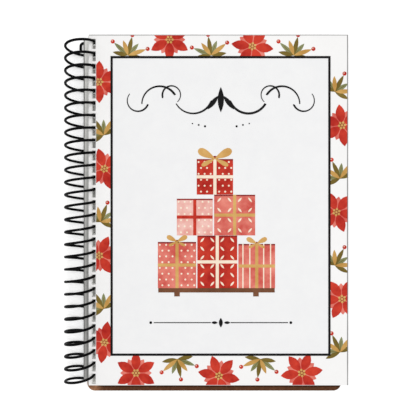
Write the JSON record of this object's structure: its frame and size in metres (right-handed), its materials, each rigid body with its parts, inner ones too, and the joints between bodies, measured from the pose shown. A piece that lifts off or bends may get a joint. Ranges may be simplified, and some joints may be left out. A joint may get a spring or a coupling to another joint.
{
  "type": "gift card holder",
  "caption": "Coil-bound book with a printed card cover, leaves with kraft pockets for gift cards and a brown back board; cover and leaves turn on the coil.",
  "frame": {"origin": "middle of the box round the closed book, at the bottom", "axes": "+Z out of the front cover, +Y to the head of the book, the coil along Y on the -X side"},
  "size_m": [0.1442, 0.1842, 0.016],
  "materials": {
    "black_wire": "steel wire with a smooth black coat",
    "cover_card": "coated white card, matt, printed on the front",
    "brown_board": "uncoated brown board",
    "leaf_card": "uncoated white card",
    "kraft_board": "uncoated kraft board",
    "kraft_card": "uncoated kraft card"
  },
  "bodies": {
    "book": {"back_board": "brown_board", "back_cover": "cover_card", "coil": "black_wire"},
    "leaf_1": {"leaf_1": "leaf_card", "leaf_1_upper_spacer": "kraft_board", "leaf_1_upper_pocket": "kraft_card", "leaf_1_lower_spacer": "kraft_board", "leaf_1_lower_pocket": "kraft_card"},
    "leaf_2": {"leaf_2": "leaf_card", "leaf_2_upper_spacer": "kraft_board", "leaf_2_upper_pocket": "kraft_card", "leaf_2_lower_spacer": "kraft_board", "leaf_2_lower_pocket": "kraft_card"},
    "leaf_3": {"leaf_3": "leaf_card", "leaf_3_upper_spacer": "kraft_board", "leaf_3_upper_pocket": "kraft_card", "leaf_3_lower_spacer": "kraft_board", "leaf_3_lower_pocket": "kraft_card"},
    "leaf_4": {"leaf_4": "leaf_card", "leaf_4_upper_spacer": "kraft_board", "leaf_4_upper_pocket": "kraft_card", "leaf_4_lower_spacer": "kraft_board", "leaf_4_lower_pocket": "kraft_card"},
    "front": {"front_cover": "cover_card"}
  },
  "joints": [
    {"name": "leaf_4_turn", "type": "hinge", "parent": "book", "child": "leaf_4", "pos_m": [-0.06413, 0, 0.00802], "axis": [0, -1, 0], "range_deg": [0, 180]},
    {"name": "leaf_3_turn", "type": "hinge", "parent": "leaf_4", "child": "leaf_3", "pos_m": [-0.06413, 0, 0.00802], "axis": [0, -1, 0], "range_deg": [0, 180]},
    {"name": "leaf_2_turn", "type": "hinge", "parent": "leaf_3", "child": "leaf_2", "pos_m": [-0.06413, 0, 0.00802], "axis": [0, -1, 0], "range_deg": [0, 180]},
    {"name": "leaf_1_turn", "type": "hinge", "parent": "leaf_2", "child": "leaf_1", "pos_m": [-0.06413, 0, 0.00802], "axis": [0, -1, 0], "range_deg": [0, 180]},
    {"name": "front_turn", "type": "hinge", "parent": "leaf_1", "child": "front", "pos_m": [-0.06413, 0, 0.00802], "axis": [0, -1, 0], "range_deg": [0, 180]}
  ]
}
